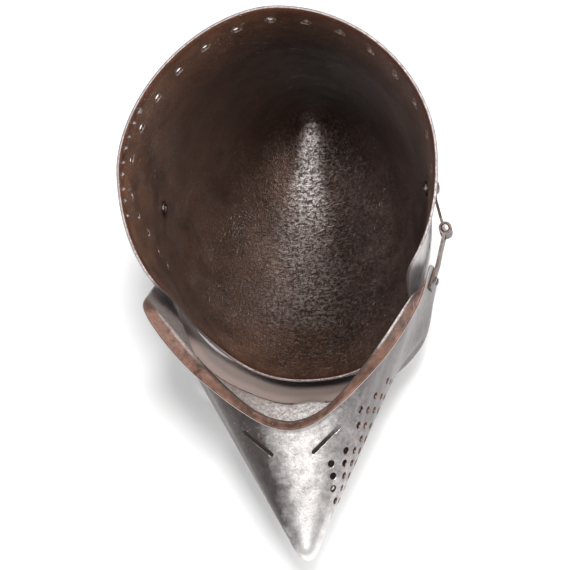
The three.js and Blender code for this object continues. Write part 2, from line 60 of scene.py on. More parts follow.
# Level sections of the skull from its point (t = 0) to its rim (t = 1).
SKULL_SECTIONS = table("t z half_width widest_y back_y front_y power", [
    (0.00, 281, 0, 105, 105, 105, 1.9),
    (0.07, 277, 14, 94, 107.5, 76, 1.9),
    (0.15, 268.5, 27, 80, 110.5, 46, 1.95),
    (0.24, 258, 41, 64, 113, 14, 2),
    (0.33, 243.5, 54, 48, 115, -17, 2.05),
    (0.42, 224, 67, 32, 117, -50, 2.3),
    (0.51, 199, 78.5, 18, 118.5, -84, 2.3),
    (0.60, 172, 88, 9, 119, -109.5, 2.3),
    (0.68, 145, 93.5, 4, 118.5, -120.5, 2.3),
    (0.78, 108, 97, 5, 117.5, -119, 2.3),
    (0.88, 65, 98.5, 8, 116.5, -110, 2.25),
    (0.95, 30, 101.7, 13, 118.5, -103, 2.2),
    (1.00, 0, 106.5, 18, 122.8, -98, 2.2),
])
BACK_POWER = dict(left=1.77, right=1.91)
SKULL_GRID = dict(around=260, down=110)
SKULL_SPACING = 0.96

# The skull's free edge, from the nape (u = 0) round the rim and up the face to the brow (u = 1).
SKULL_EDGE = table("u angle z", [
    (0.00, 0, 0), (0.14, 35, 0), (0.28, 70, 0), (0.40, 101, 0), (0.49, 124.5, 0), (0.52, 130.5, 1.5),
    (0.55, 132.4, 9), (0.62, 133.2, 40), (0.70, 134.6, 80), (0.77, 137.4, 116), (0.82, 142.5, 138),
    (0.88, 152, 150), (0.94, 165, 154.5), (1.00, 180, 155.5),
])

# The visor's bend and free edge on the wearer's left, from under the chin (u = 0) to the brow (u = 1).
VISOR_LINES = table("u bend_x bend_y bend_z edge_x edge_y edge_z crisp", [
    (0.00, 0, -154.5, 4.5, 0, -159.5, -1, 1),
    (0.06, 14, -151, 4.5, 15.5, -155.5, -1, 1),
    (0.13, 30, -141, 5, 35.5, -142, -1, 1),
    (0.22, 53, -117, 6, 60, -120, -0.5, 1),
    (0.30, 67, -100, 7, 75.5, -102, 0, 1),
    (0.37, 79, -84, 8, 88, -83.5, 0, 1),
    (0.42, 86.5, -75, 10, 93.5, -71, 1, 0.8),
    (0.46, 85, -82, 24, 94, -63.5, 20, 0.3),
    (0.52, 77, -97, 52, 95.8, -51.5, 56, 0),
    (0.60, 76, -100.5, 84, 96, -49.5, 96, 0),
    (0.68, 84, -95, 106, 93.5, -62, 136, 0.7),
    (0.78, 65, -113.5, 110, 74, -93, 164, 1),
    (0.89, 36, -129, 111.5, 41.5, -113.5, 181, 1),
    (0.95, 17, -135.2, 111.9, 19, -119.4, 183.9, 1),
    (1.00, 0, -136.5, 112, 0, -120, 184, 1),
])
VISOR_GRID = dict(around=312, nose_rows=8, snout_rows=60, flank_rows=46)
FLANK_SPACING, FLANK_BELLY = 1.15, 0.35
PASSES_ALONG, PASSES_ROUND = 10, 12
NOSE_Y, NOSE_Z, NOSE_RADIUS = -235.0, 24.0, 8.0
SNOUT_LEAN, SNOUT_LEAN_POWER, SNOUT_PINCH, SNOUT_ROUND, LINES_FRONT = 4.2, 1.7, 0.045, 0.6, -75.0
TURNED_IN = 3.0

# Holes and slots
SIGHT = dict(inner=12.0, outer=80.0, low=116.5, high=123.5, lip=5.0, wall=4.0, slope=8.5, fade=10.0,
             middle_y=-120.0, depth=120.0)
CHIN_SLOT = dict(outer=(31.0, -157.5), inner=(13.7, -173.0), width=2.4, low=-4.0, high=22.0)
BREATH_ROWS = [(-205, 24.6), (-197, 24.3), (-189, 24.8), (-181, 24.3), (-173, 34.0), (-165.5, 43.0),
               (-157, 42.9), (-147, 45.0), (-138, 54.3), (-128, 62.0)]
BREATH_RADIUS, BREATH_PITCH, BREATH_TOP = 2.4, 10.5, 62.0
LACING = dict(radius=2.7, z=18.0, step=13.3, each_side=7)
CHEEK_HOLES, CHEEK_RADIUS = [(101, 28), (107, 44), (112, 64), (116, 86)], 2.0
SMALL_HOLES = dict(first=62.0, end=106.0, step=5.0, z=4.6, radius=0.75)
HOLE_DEPTH, HOLE_SIDES = 9, 24

# Hammer marks, inward only: mean depth, size and seed of each kind, and how near the edge they fade out.
HAMMER_MARKS = [(0.35, 26, 3), (0.12, 9, 5)]
HAMMER_FADE = 14


def along(columns, key, name, at):
    """Smooth curve through a table's column: a cubic on each gap, with slopes taken across the neighbours."""
    x, y = columns[key], columns[name]
    before, after = np.maximum(np.arange(len(x)) - 1, 0), np.minimum(np.arange(len(x)) + 1, len(x) - 1)
    slope = (y[after] - y[before]) / (x[after] - x[before])
    i = np.clip(np.searchsorted(x, at, side="left") - 1, 0, len(x) - 2)
    width = x[i + 1] - x[i]
    s = np.clip((at - x[i]) / width, 0, 1)
    return ((2 * s**3 - 3 * s**2 + 1) * y[i] + (s**3 - 2 * s**2 + s) * width * slope[i]
            + (3 * s**2 - 2 * s**3) * y[i + 1] + (s**3 - s**2) * width * slope[i + 1])


def smoothstep(x, low, high):
    """0 below low, 1 above high, and s * s * (3 - 2s) between them."""
    s = np.clip((x - low) / (high - low), 0, 1)
    return s * s * (3 - 2 * s)


def lay_down(points):
    """Helmet frame in millimetres to the row's frame in metres: half a turn about Z after a turn about X."""
    tip = math.pi - LYING_PITCH
    x, y, z = np.moveaxis(np.asarray(points, float), -1, 0)
    back = y * math.cos(tip) - z * math.sin(tip)
    rise = y * math.sin(tip) + z * math.cos(tip)
    return np.stack([-x, -back, rise], axis=-1) * 0.001 + RIM_PLACE


def lumps(points, size, seed):
    """Smooth noise from -1 to 1: a value hashed at each corner of a lattice of this size, blended between."""
    p = np.asarray(points, float) / size
    cell = np.floor(p).astype(np.int64)
    f = p - cell
    f = f * f * (3 - 2 * f)
    total = np.zeros(p.shape[:-1])
    for corner in np.ndindex(2, 2, 2):
        c = cell + np.array(corner)
        h = (c[..., 0] * 73856093) ^ (c[..., 1] * 19349663) ^ (c[..., 2] * 83492791) ^ (seed * 2654435761)
        h = (h ^ (h >> 13)) * 1274126177
        value = ((h ^ (h >> 16)) & 65535) / 32767.5 - 1
        weight = np.prod([f[..., k] if corner[k] else 1 - f[..., k] for k in range(3)], axis=0)
        total += weight * value
    return total


def skull_point(t, degrees, side):
    """A level section of the skull: half a superellipse before its widest line, and half of another behind.

    The radius at each angle is (|across / half width|^power + |back / reach|^power)^(-1 / power).
    """
    a = np.radians(degrees)
    across, back = np.sin(a), np.cos(a)
    middle = along(SKULL_SECTIONS, "t", "widest_y", t)
    half_width = np.maximum(along(SKULL_SECTIONS, "t", "half_width", t), 1e-6)
    reach = np.where(back > 0, along(SKULL_SECTIONS, "t", "back_y", t) - middle,
                     middle - along(SKULL_SECTIONS, "t", "front_y", t))
    reach = np.maximum(reach, 1e-6)
    back_power = np.where(side > 0, BACK_POWER["left"], BACK_POWER["right"])
    power = np.where(back > 0, back_power, along(SKULL_SECTIONS, "t", "power", t))
    radius = ((np.abs(across) / half_width) ** power + (np.abs(back) / reach) ** power) ** (-1 / power)
    return np.stack([radius * across, middle + radius * back, along(SKULL_SECTIONS, "t", "z", t)], axis=-1)


def skull_surface(around, down):
    """Rows from the apex to the free edge: each column slides along the sections to its own edge angle."""
    turn = (np.arange(around) + 0.5) / around
    u = 1 - np.abs(1 - 2 * turn)
    side = np.where(turn <= 0.5, -1.0, 1.0)
    fine_t = np.linspace(0, 1, 2001)
    fine_z = along(SKULL_SECTIONS, "t", "z", fine_t)
    edge_z = np.maximum(along(SKULL_EDGE, "u", "z", u), 0)
    edge_t = np.interp(-edge_z, -fine_z, fine_t)
    edge_angle = along(SKULL_EDGE, "u", "angle", u)
    v = np.linspace(0, 1, down + 1)[:, None] ** SKULL_SPACING
    angle = 180 * u + (edge_angle - 180 * u) * (v * v * (3 - 2 * v))
    points = skull_point(v * edge_t, angle, side)
    points[..., 0] *= side
    return points


def visor_surface(around, nose_rows, snout_rows, flank_rows):
    """Rows from the tip of the snout: a round nose, lines to the bend, then the flank to the free edge.

    The snout's rows go in straight lines, blended toward an ellipse of their width and height by 4s(1 - s).
    The flank's rows go from bend to edge with a belly of s(1 - s)^2 where the bend isn't crisp.
    Also how much each point belongs to the turned lower border and to the brow band.
    """
    turn = np.arange(around) / around
    u = 1 - np.abs(1 - 2 * turn)
    side = np.where(turn <= 0.5, 1.0, -1.0)
    pick = lambda name: np.stack([np.maximum(along(VISOR_LINES, "u", name + "_x", u), 0) * side,
                                  along(VISOR_LINES, "u", name + "_y", u),
                                  along(VISOR_LINES, "u", name + "_z", u)], axis=-1)
    bend, edge = pick("bend"), pick("edge")
    crisp = np.clip(along(VISOR_LINES, "u", "crisp", u), 0, 1)[:, None]
    angle = math.pi * (u - 0.5)
    across, up = np.cos(angle) * side, np.sin(angle)
    polar = np.linspace(0, math.pi / 2, nose_rows + 1)[:, None]
    nose = np.stack([NOSE_RADIUS * np.sin(polar) * across, NOSE_Y - NOSE_RADIUS * np.cos(polar) + 0 * across,
                     NOSE_Z + NOSE_RADIUS * np.sin(polar) * up], axis=-1)
    s = np.linspace(0, 1, snout_rows + 1)[1:, None, None]
    snout = nose[-1] * (1 - s) + bend * s
    midway = 4 * s[..., 0] * (1 - s[..., 0])
    low, high = snout[..., 2].min(axis=1, keepdims=True), snout[..., 2].max(axis=1, keepdims=True)
    half_width = snout[..., 0].max(axis=1, keepdims=True)
    round_x, round_z = half_width * across, (low + high) / 2 + up * (high - low) / 2
    snout[..., 0] += (round_x - snout[..., 0]) * SNOUT_ROUND * midway
    snout[..., 2] += (round_z - snout[..., 2]) * SNOUT_ROUND * midway
    snout[..., 0] *= 1 - SNOUT_PINCH * midway
    w = np.linspace(0, 1, flank_rows + 1)[1:, None, None] ** FLANK_SPACING
    reach = np.linalg.norm(bend - edge, axis=-1, keepdims=True)
    onward = bend - nose[-1]
    onward = onward / np.linalg.norm(onward, axis=-1, keepdims=True) * reach
    flank = bend * (1 - w) + edge * w + onward * (1 - crisp) * FLANK_BELLY * w * (1 - w) ** 2
    outward = bend * [1, 1, 0]
    outward = outward / np.linalg.norm(outward, axis=-1, keepdims=True)
    x = np.abs(bend[:, 0])
    window = smoothstep(x, SIGHT["inner"] - SIGHT["fade"], SIGHT["inner"]) * smoothstep(u, 0.62, 0.70)
    window = window * (1 - smoothstep(x, SIGHT["outer"], SIGHT["outer"] + SIGHT["fade"]))
    off_middle = np.abs(flank[..., 2] - (SIGHT["low"] + SIGHT["high"]) / 2)
    ridge = 1 - smoothstep(off_middle, SIGHT["wall"], SIGHT["wall"] + SIGHT["slope"])
    flank = flank + outward * (SIGHT["lip"] * window * ridge)[..., None]
    flank = flank - outward * (TURNED_IN * smoothstep(u, 0.74, 0.86) * w[..., 0] ** 4)[..., None]
    points = soften(np.concatenate([nose, snout, flank]), PASSES_ALONG)
    for _ in range(PASSES_ROUND):
        points = 0.25 * np.roll(points, 1, axis=1) + 0.5 * points + 0.25 * np.roll(points, -1, axis=1)
    forward = np.maximum(LINES_FRONT - points[..., 1], 0) / (LINES_FRONT - NOSE_Y)
    points[..., 0] -= SNOUT_LEAN * forward ** SNOUT_LEAN_POWER
    on_flank = np.zeros(points.shape[:2])
    on_flank[-flank_rows:] = w[..., 0]
    border = smoothstep(on_flank, 0.10, 0.28) * (1 - smoothstep(u, 0.43, 0.47))
    brow = smoothstep(on_flank, 0.02, 0.06) * smoothstep(u, 0.60, 0.66)
    return points, border, brow


def soften(points, passes):
    """Rounds creases that run round a grid: each row moves to the mean of itself and its two neighbours."""
    for _ in range(passes):
        points[1:-1] = 0.25 * points[:-2] + 0.5 * points[1:-1] + 0.25 * points[2:]
    return points


def surface_normals(points):
    """Unit normals of a grid that closes round its columns and whose first row is one point."""
    rows = np.gradient(points, axis=0)
    turn = np.roll(points, -1, axis=1) - np.roll(points, 1, axis=1)
    normal = np.cross(rows, turn)
    normal[0] = normal[1].mean(axis=0)
    return normal / np.maximum(np.linalg.norm(normal, axis=-1, keepdims=True), 1e-9)


def grid_tree(points):
    """A search tree over a grid, to find where a straight line meets it."""
    rows, count = points.shape[:2]
    i, j = np.meshgrid(np.arange(count), np.arange(rows - 1))
    k = (i + 1) % count
    quads = np.stack([j * count + i, (j + 1) * count + i, (j + 1) * count + k, j * count + k], axis=-1)
    return BVHTree.FromPolygons(points.reshape(-1, 3).tolist(), quads.reshape(-1, 4).tolist())


def new_mesh(name, verts, faces, values=None, material=None):
    """A mesh object in the row's frame from points in the helmet's frame, with named values on its points."""
    mesh = bpy.data.meshes.new(name)
    mesh.from_pydata(lay_down(verts).tolist(), [], faces)
    mesh.update()
    for key, array in (values or {}).items():
        column = mesh.attributes.new(key, "FLOAT", "POINT").data
        column.foreach_set("value", np.asarray(array, np.float32).ravel())
    mesh.shade_smooth()
    if material:
        mesh.materials.append(material)
    piece = bpy.data.objects.new(name, mesh)
    bpy.context.scene.collection.objects.link(piece)
    return piece


def edge_distance(points):
    """Length along each column from the free edge."""
    steps = np.linalg.norm(np.diff(points, axis=0), axis=-1)
    return np.concatenate([np.cumsum(steps[::-1], axis=0)[::-1], np.zeros((1, points.shape[1]))])


def plate_shell(name, outer, thickness, values, material, rim_rows=3):
    """A closed plate: the surface, the same pushed in along its normals, and a rounded edge between them.

    Its points also carry "inside": 0 on the outer face, 1 on the inner one, and 0.3 to 0.7 round the edge.
    """
    normal = surface_normals(outer)
    inner = outer - normal * thickness
    bow = np.linspace(0, math.pi, rim_rows + 2)[1:-1, None, None]
    outward = outer[-1] - outer[-2]
    outward /= np.linalg.norm(outward, axis=-1, keepdims=True)
    half = thickness / 2
    rim = outer[-1] - normal[-1] * (half - half * np.cos(bow)) + outward * 0.35 * np.sin(bow)
    rows, count = outer.shape[:2]
    body = np.concatenate([outer[1:], rim, inner[::-1][:-1]])
    verts = np.concatenate([outer[0, :1], body.reshape(-1, 3), inner[0, :1]])
    total = body.shape[0]
    i, j = np.meshgrid(np.arange(count), np.arange(total - 1))
    k = (i + 1) % count
    quads = 1 + np.stack([j * count + i, (j + 1) * count + i, (j + 1) * count + k, j * count + k], axis=-1)
    near = np.arange(count)
    after = (near + 1) % count
    last = 1 + total * count
    cap = np.stack([np.zeros(count, int), 1 + near, 1 + after], axis=-1)
    end = np.stack([np.full(count, last), last - count + after, last - count + near], axis=-1)
    faces = quads.reshape(-1, 4).tolist() + cap.tolist() + end.tolist()
    spread = {}
    for key, grid in values.items():
        edge = np.repeat(grid[-1:], rim_rows, axis=0)
        wall = np.concatenate([grid[1:], edge, grid[::-1][:-1]])
        spread[key] = np.concatenate([grid[0, :1], wall.ravel(), grid[0, :1]])
    bend = np.linspace(0.3, 0.7, rim_rows)[:, None] * np.ones(count)
    inside = np.concatenate([np.zeros((rows - 1, count)), bend, np.ones((rows - 1, count))])
    spread["inside"] = np.concatenate([[0.0], inside.ravel(), [1.0]])
    return new_mesh(name, verts, faces, spread, material)


def hole_rod(centre, direction, radius):
    """Points and faces of the closed rod that makes a hole: two rings round a line through the centre."""
    axis = np.asarray(direction, float) / np.linalg.norm(direction)
    first = np.cross(axis, [0, 0, 1.0] if abs(axis[2]) < 0.9 else [1.0, 0, 0])
    first /= np.linalg.norm(first)
    second = np.cross(axis, first)
    a = np.linspace(0, 2 * math.pi, HOLE_SIDES, endpoint=False)[:, None]
    ring = (np.cos(a) * first + np.sin(a) * second) * radius
    verts = np.concatenate([centre + ring - axis * HOLE_DEPTH / 2, centre + ring + axis * HOLE_DEPTH / 2])
    i = np.arange(HOLE_SIDES)
    k = (i + 1) % HOLE_SIDES
    faces = np.stack([i, k, HOLE_SIDES + k, HOLE_SIDES + i], axis=-1).tolist()
    return verts, faces + [i[::-1].tolist(), (HOLE_SIDES + i).tolist()]


def block(centre, size):
    """Points and faces of a box."""
    corner = np.array([(x, y, z) for x in (-0.5, 0.5) for y in (-0.5, 0.5) for z in (-0.5, 0.5)]) * size
    faces = [[0, 1, 3, 2], [4, 6, 7, 5], [0, 4, 5, 1], [2, 3, 7, 6], [0, 2, 6, 4], [1, 5, 7, 3]]
    return corner + centre, faces


def round_slot(start, end, radius, low, high, steps=10):
    """Points and faces of an upright prism over a line, with two half-round ends, between two heights."""
    run = (end - start) / np.linalg.norm(end - start)
    across = np.array([-run[1], run[0]])
    a = np.linspace(-math.pi / 2, math.pi / 2, steps)[:, None]
    cap = (np.cos(a) * run + np.sin(a) * across) * radius
    outline = np.concatenate([end + cap, start - cap])
    count = len(outline)
    verts = np.concatenate([np.c_[outline, np.full(count, low)], np.c_[outline, np.full(count, high)]])
    i = np.arange(count)
    k = (i + 1) % count
    faces = np.stack([i, k, count + k, count + i], axis=-1).tolist()
    return verts, faces + [i[::-1].tolist(), (count + i).tolist()]


def joined(parts):
    """Several point-and-face lists as one."""
    verts, faces, start = [], [], 0
    for points, polygons in parts:
        verts.append(points)
        faces += [[start + n for n in face] for face in polygons]
        start += len(points)
    return np.concatenate(verts), faces


def cut(piece, parts):
    """Takes the parts out of a piece for good, and gives the cut faces the material of hole walls."""
    verts, faces = joined(parts)
    tool = new_mesh("cutter", verts, faces, material=hole_wall)
    change = piece.modifiers.new("holes", "BOOLEAN")
    change.material_mode = "TRANSFER"
    change.operation, change.object, change.solver = "DIFFERENCE", tool, "EXACT"
    graph = bpy.context.evaluated_depsgraph_get()
    made = bpy.data.meshes.new_from_object(piece.evaluated_get(graph))
    piece.modifiers.clear()
    piece.data = made
    bpy.data.objects.remove(tool)


def meets(tree, start, direction):
    """The nearest place where a line from a point meets a surface, and the surface's direction there."""
    place, normal, _, _ = tree.ray_cast(Vector(start), Vector(direction).normalized())
    return (np.array(place), np.array(normal)) if place is not None else (None, None)


def lacing_rods(tree):
    """Rods for the holes round the rim, up each cheek and close to the rim on the wearer's left.

    Each stands square to the bowl where a level line from the rim's middle, at the hole's angle, meets it.
    """
    holes = [(k * LACING["step"], LACING["z"], LACING["radius"])
             for k in range(-LACING["each_side"], LACING["each_side"] + 1)]
    holes += [(side * angle, z, CHEEK_RADIUS) for angle, z in CHEEK_HOLES for side in (1, -1)]
    holes += [(degrees, SMALL_HOLES["z"], SMALL_HOLES["radius"])
              for degrees in np.arange(SMALL_HOLES["first"], SMALL_HOLES["end"], SMALL_HOLES["step"])]
    rods = []
    for degrees, z, radius in holes:
        a = math.radians(degrees)
        place, normal = meets(tree, (0, RIM_MIDDLE, z), (math.sin(a), math.cos(a), 0))
        rods.append(hole_rod(place, normal, radius))
    return rods


def breath_rods(tree):
    """Along each row the holes climb the snout's right side at an even pitch, from the first one below."""
    rods = []
    for y, first_x in BREATH_ROWS:
        place, normal = meets(tree, (-first_x, y, -200), (0, 0, 1))
        rods.append(hole_rod(place, normal, BREATH_RADIUS))
        middle = np.array([0, y, NOSE_Z + 25])
        start = math.atan2(place[2] - middle[2], place[0])
        travelled, previous = 0.0, place
        for turn in np.arange(0, math.pi, 0.01):
            a = start - turn if start < 0 else 2 * math.pi + start - turn
            place, normal = meets(tree, middle, (math.cos(a), 0, math.sin(a)))
            if place is None or place[0] > -8 or place[2] > BREATH_TOP:
                break
            travelled += np.linalg.norm(place - previous)
            previous = place
            if travelled >= BREATH_PITCH:
                travelled = 0.0
                rods.append(hole_rod(place, normal, BREATH_RADIUS))
    return rods


def visor_slots():
    """The two sights, cut as blocks, and the two slots by the chin."""
    parts = []
    width, middle_x = SIGHT["outer"] - SIGHT["inner"], (SIGHT["inner"] + SIGHT["outer"]) / 2
    height, middle_z = SIGHT["high"] - SIGHT["low"], (SIGHT["low"] + SIGHT["high"]) / 2
    for side in (-1, 1):
        parts.append(block((side * middle_x, SIGHT["middle_y"], middle_z), (width, SIGHT["depth"], height)))
        outer, inner = (np.array([side * x, y]) for x, y in (CHIN_SLOT["outer"], CHIN_SLOT["inner"]))
        parts.append(round_slot(outer, inner, CHIN_SLOT["width"] / 2, CHIN_SLOT["low"], CHIN_SLOT["high"]))
    return parts


# Materials
# Tones as linear red, green and blue: base, dark and rust of each steel, then the tones of the finishes.
STEELS = dict(
    skull=((0.54, 0.515, 0.51), (0.36, 0.335, 0.33), (0.20, 0.13, 0.10)),
    visor=((0.66, 0.635, 0.625), (0.24, 0.225, 0.22), (0.24, 0.17, 0.145)),
    fitting=((0.085, 0.068, 0.062), (0.030, 0.023, 0.020), (0.09, 0.045, 0.03)),
    rivet=((0.24, 0.20, 0.19), (0.09, 0.072, 0.066), (0.20, 0.11, 0.075)),
    hole=((0.24, 0.15, 0.11), (0.09, 0.05, 0.035), (0.16, 0.07, 0.04)),
)
PATINA, WORN, BROWNED = (0.042, 0.029, 0.024), (0.36, 0.32, 0.31), (0.115, 0.072, 0.056)
# The third tone on the next line is painted shade, which makes the nape wall nearly black.
SIDE_PATINA, CLOUD, NAPE_SHADE = (0.30, 0.245, 0.235), (0.045, 0.030, 0.025), (0.005, 0.003, 0.003)
# The first tone on the next line is a painted highlight, for the streak down the bowl's front.
STREAK_HIGHLIGHT, RUST, RIM_RUST = (0.98, 0.94, 0.93), (0.40, 0.205, 0.125), (0.17, 0.070, 0.045)
SKULL_SCRATCH, SKULL_LIP = (0.75, 0.68, 0.65), (0.30, 0.265, 0.265)
# The three tones on the next line are painted light: shade on the snout's left and right flanks, and a
# highlight at its tip.
LEFT_FLANK_SHADE, RIGHT_FLANK_SHADE, TIP_HIGHLIGHT = (0.050, 0.038, 0.037), (0.105, 0.088, 0.090), (0.97, 0.95, 0.94)
SILVER_DARK, SILVER, SPECKLE = (0.36, 0.325, 0.31), (0.92, 0.89, 0.87), (0.26, 0.16, 0.11)
# The last tone on the next line is painted shade, for the deepest parts inside the visor.
SILVER_BROWN, BROW, DEEP_SHADE = (0.22, 0.15, 0.125), (0.43, 0.34, 0.31), (0.035, 0.022, 0.018)
BORDER_DARK, BORDER = (0.065, 0.030, 0.020), (0.25, 0.13, 0.092)
VISOR_SCRATCH, VISOR_LIP = (0.75, 0.72, 0.70), (0.56, 0.50, 0.47)

# The painted highlight streak down the bowl's front, drawn as barer steel: where it starts, and its strength
# by 5 times the distance from there, in metres.
POINT_Y = 0.215
STREAK_FADE = [(0.0, 0), (0.03, 0.7), (0.25, 0.95), (0.38, 0.6), (0.52, 0.38), (0.80, 0.22), (1.0, 0)]

# The snout's end, and how far its middle line leans to the wearer's right there, in the row's frame.
SNOUT_END_Y, TIP_LEAN = -0.2155, 0.004


def node(tree, kind, links=None, **settings):
    """Adds a shader node, sets its fields, and gives its inputs values or links."""
    made = tree.nodes.new("ShaderNode" + kind)
    for key, value in settings.items():
        setattr(made, key, value)
    for key, value in (links or {}).items():
        socket = made.inputs[key]
        if isinstance(value, bpy.types.NodeSocket):
            tree.links.new(value, socket)
        else:
            socket.default_value = value
    return made


def maths(tree, operation, *values):
    """One sum worked out at every point of the surface."""
    return node(tree, "Math", dict(enumerate(values)), operation=operation).outputs[0]


def times(tree, first, *others):
    """Values multiplied one after another."""
    for value in others:
        first = maths(tree, "MULTIPLY", first, value)
    return first


def plus(tree, first, second):
    return maths(tree, "ADD", first, second)


def minus(tree, first, second):
    return maths(tree, "SUBTRACT", first, second)


def rising(tree, value, start, end, shape="LINEAR"):
    """0 where a value is at its start, 1 where it is at its end, and held level beyond them."""
    return node(tree, "MapRange", {"Value": value, "From Min": start, "From Max": end},
                interpolation_type=shape).outputs[0]


def ramp(tree, value, stops):
    """A grey ramp: stops are (place, grey)."""
    made = node(tree, "ValToRGB", {0: value})
    band = made.color_ramp
    while len(band.elements) > 1:
        band.elements.remove(band.elements[-1])
    for n, (place, grey) in enumerate(stops):
        element = band.elements[0] if n == 0 else band.elements.new(place)
        element.position = place
        element.color = (grey, grey, grey, 1)
    return made.outputs[0]


def blend(tree, amount, first, second):
    """A tone between two: the first where the amount is 0, the second where it is 1."""
    made = node(tree, "Mix", {0: amount}, data_type="RGBA")
    for socket, value in ((made.inputs[6], first), (made.inputs[7], second)):
        if isinstance(value, bpy.types.NodeSocket):
            tree.links.new(value, socket)
        else:
            socket.default_value = (*value, 1)
    return made.outputs[2]


def grain(tree, place, scale, detail, roughness, distortion=0.0):
    """Noise with about this many lumps to the metre."""
    return node(tree, "TexNoise", {"Vector": place, "Scale": scale, "Detail": detail, "Roughness": roughness,
                                   "Distortion": distortion}).outputs[0]


def new_material(name):
    """A material with an empty shader, and the place of each point in the piece's own frame."""
    material = bpy.data.materials.new(name)
    material.use_nodes = True
    tree = material.node_tree
    tree.nodes.clear()
    shader = node(tree, "BsdfPrincipled")
    output = node(tree, "OutputMaterial")
    tree.links.new(shader.outputs[0], output.inputs[0])
    place = node(tree, "TexCoord").outputs["Object"]
    return material, tree, shader, place


def value_of(tree, name):
    """A number carried by the piece's points."""
    return node(tree, "Attribute", attribute_name=name).outputs["Fac"]


def stretched(tree, place, scale, turn):
    """Places turned and scaled by different amounts each way, to draw a pattern out."""
    return node(tree, "Mapping", {"Vector": place, "Scale": scale, "Rotation": turn}).outputs[0]


def scratches(tree, place):
    """Fine lines in two directions: noise drawn out a hundred times longer one way, kept where it peaks."""
    first = grain(tree, stretched(tree, place, (16, 1500, 900), (0.3, 0.2, 0.7)), 1, 1, 0.4)
    second = grain(tree, stretched(tree, place, (1700, 22, 900), (0.1, 0.4, -0.3)), 1, 1, 0.4)
    patches = ramp(tree, grain(tree, place, 26, 2, 0.5), [(0.42, 0), (0.62, 1)])
    first = ramp(tree, first, [(0.70, 0), (0.77, 1)])
    second = ramp(tree, second, [(0.71, 0), (0.78, 1)])
    return times(tree, maths(tree, "MAXIMUM", first, second), patches)


def pebbles(tree, place):
    """Grains about a millimetre across over lumps of a few millimetres."""
    fine = grain(tree, place, 900, 2, 0.6)
    coarse = grain(tree, place, 330, 3, 0.6)
    return plus(tree, times(tree, fine, 0.6), times(tree, coarse, 0.7))


def steel(tree, place, tones, stained):
    """Worn grey steel: a mottled tone, brown stains and dark pits. Gives its tone, stain and pits."""
    base, dark, rust = tones
    mottle = grain(tree, place, 140, 9, 0.78)
    tone = blend(tree, ramp(tree, mottle, [(0.36, 0), (0.66, 1)]), dark, base)
    stain = ramp(tree, grain(tree, place, 30, 8, 0.8, 0.5), [(0.52, 0), (0.70, 1)])
    tone = blend(tree, times(tree, stain, stained), tone, rust)
    pits = ramp(tree, grain(tree, place, 650, 2, 0.5), [(0.60, 0), (0.70, 1)])
    tone = blend(tree, times(tree, pits, 0.65), tone, dark)
    return tone, stain, pits


def finish_metal(tree, shader, tone, rough, height, strength, metallic=1.0):
    """Sets a shader's tone, roughness, bump and how metallic it is."""
    tree.links.new(tone, shader.inputs["Base Color"])
    tree.links.new(rough, shader.inputs["Roughness"])
    if isinstance(metallic, bpy.types.NodeSocket):
        tree.links.new(metallic, shader.inputs["Metallic"])
    else:
        shader.inputs["Metallic"].default_value = metallic
    bump = node(tree, "Bump", {"Strength": strength, "Distance": 0.0012, "Height": height})
    tree.links.new(bump.outputs[0], shader.inputs["Normal"])


def painted_highlight_streak(tree, across, ahead, height_up):
    """A painted highlight on the bowl's front, drawn as a streak of barer steel that starts at the point,
    widens forward and fades.
    """
    down = minus(tree, POINT_Y, ahead)
    middle = minus(tree, -0.004, times(tree, down, 0.08))
    off_middle = maths(tree, "ABSOLUTE", minus(tree, across, middle))
    reach = plus(tree, 0.007, times(tree, down, 0.22))
    streak = rising(tree, maths(tree, "DIVIDE", off_middle, reach), 1.0, 0.15, "SMOOTHSTEP")
    fade = ramp(tree, times(tree, down, 5.0), STREAK_FADE)
    return times(tree, streak, fade, rising(tree, height_up, 0.050, 0.032))


